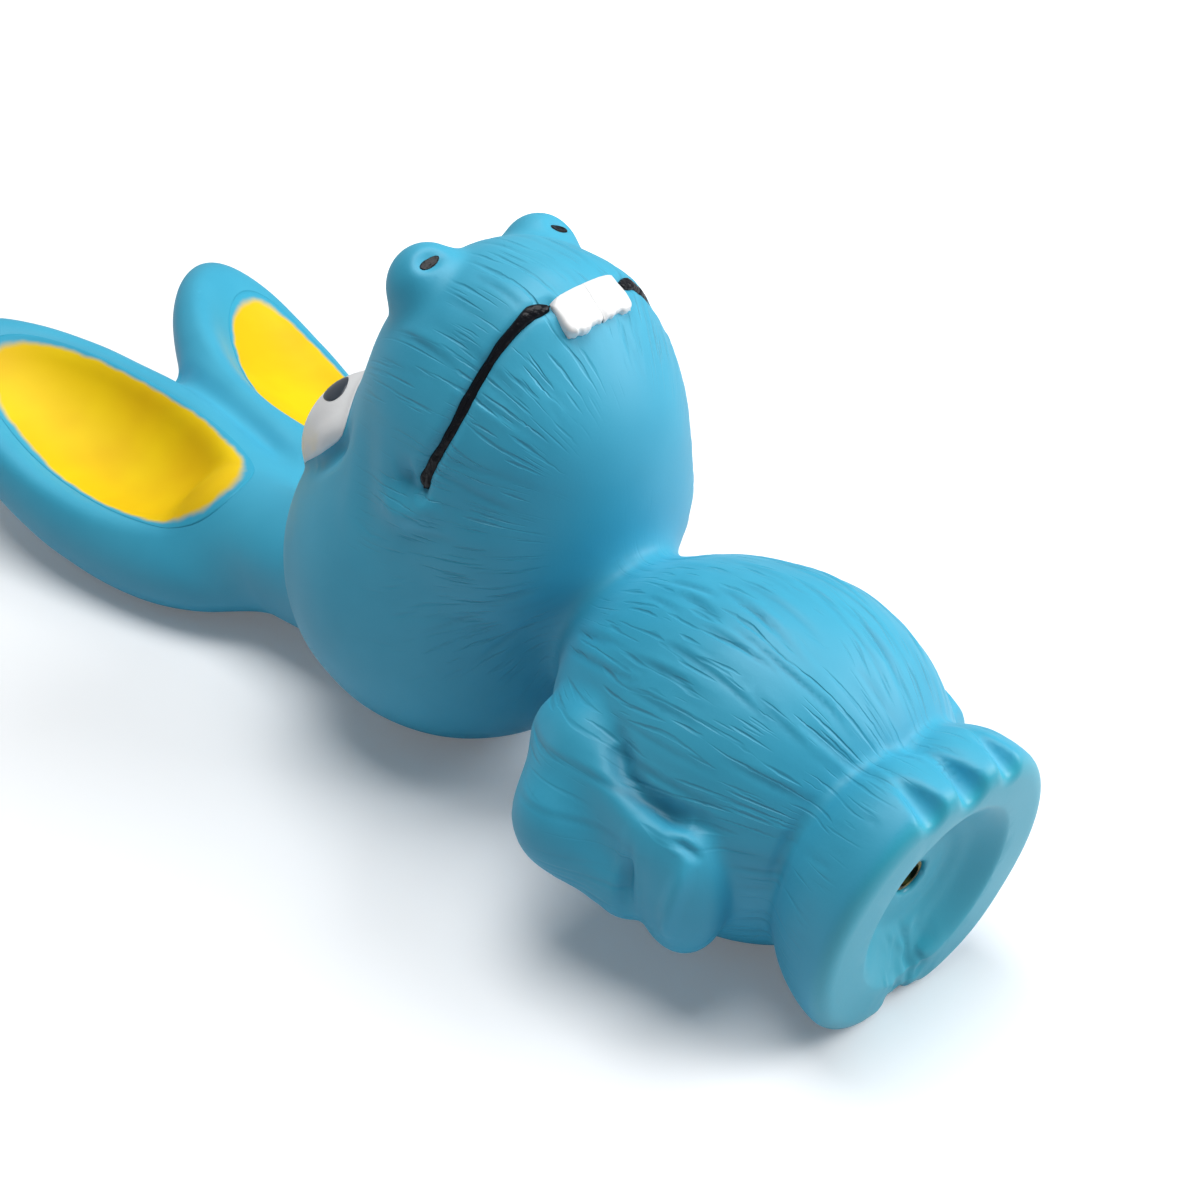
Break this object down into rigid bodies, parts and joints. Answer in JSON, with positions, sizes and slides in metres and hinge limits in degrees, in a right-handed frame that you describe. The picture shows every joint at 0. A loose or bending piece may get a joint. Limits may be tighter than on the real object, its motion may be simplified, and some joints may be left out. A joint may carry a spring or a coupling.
{
  "type": "squeaky dog toy",
  "caption": "Hollow latex squeaky dog toy in the form of a long-eared rabbit lying on its back, with a brass reed squeaker set in the sole.",
  "frame": {"origin": "centre of the bounding box's footprint, on the surface that the toy lies on", "axes": "+Y from the sole to the ears, +Z out of the belly and face, +X to the rabbit's own left"},
  "size_m": [0.0774, 0.2254, 0.0822],
  "materials": {
    "blue_latex": "matte moulded latex",
    "yellow_paint": "satin sprayed latex paint",
    "white_paint": "satin latex paint",
    "navy_paint": "satin latex paint",
    "black_paint": "gloss latex paint",
    "white_plastic": "moulded",
    "tarnished_brass": "tarnished",
    "spring_brass": "rolled"
  },
  "bodies": {
    "rabbit": {"latex_shell": "blue_latex", "ear_lining_left": "yellow_paint", "ear_lining_right": "yellow_paint", "eye_white_left": "white_paint", "eye_white_right": "white_paint", "pupil_left": "navy_paint", "pupil_right": "navy_paint", "nostril_left": "black_paint", "nostril_right": "black_paint", "tooth_left": "white_paint", "tooth_right": "white_paint", "mouth_line_left": "black_paint", "mouth_line_right": "black_paint", "squeaker_housing": "white_plastic", "squeaker_cap": "white_plastic", "reed_wedge": "white_plastic", "reed_tube": "tarnished_brass"},
    "reed": {"reed_tongue": "spring_brass"}
  },
  "joints": [
    {"name": "reed_bend", "type": "hinge", "parent": "rabbit", "child": "reed", "pos_m": [0, -0.09834, 0.02121], "axis": [1, 0, 0], "range_deg": [-6, 3], "stiffness_Nm_per_rad": 0.01}
  ]
}
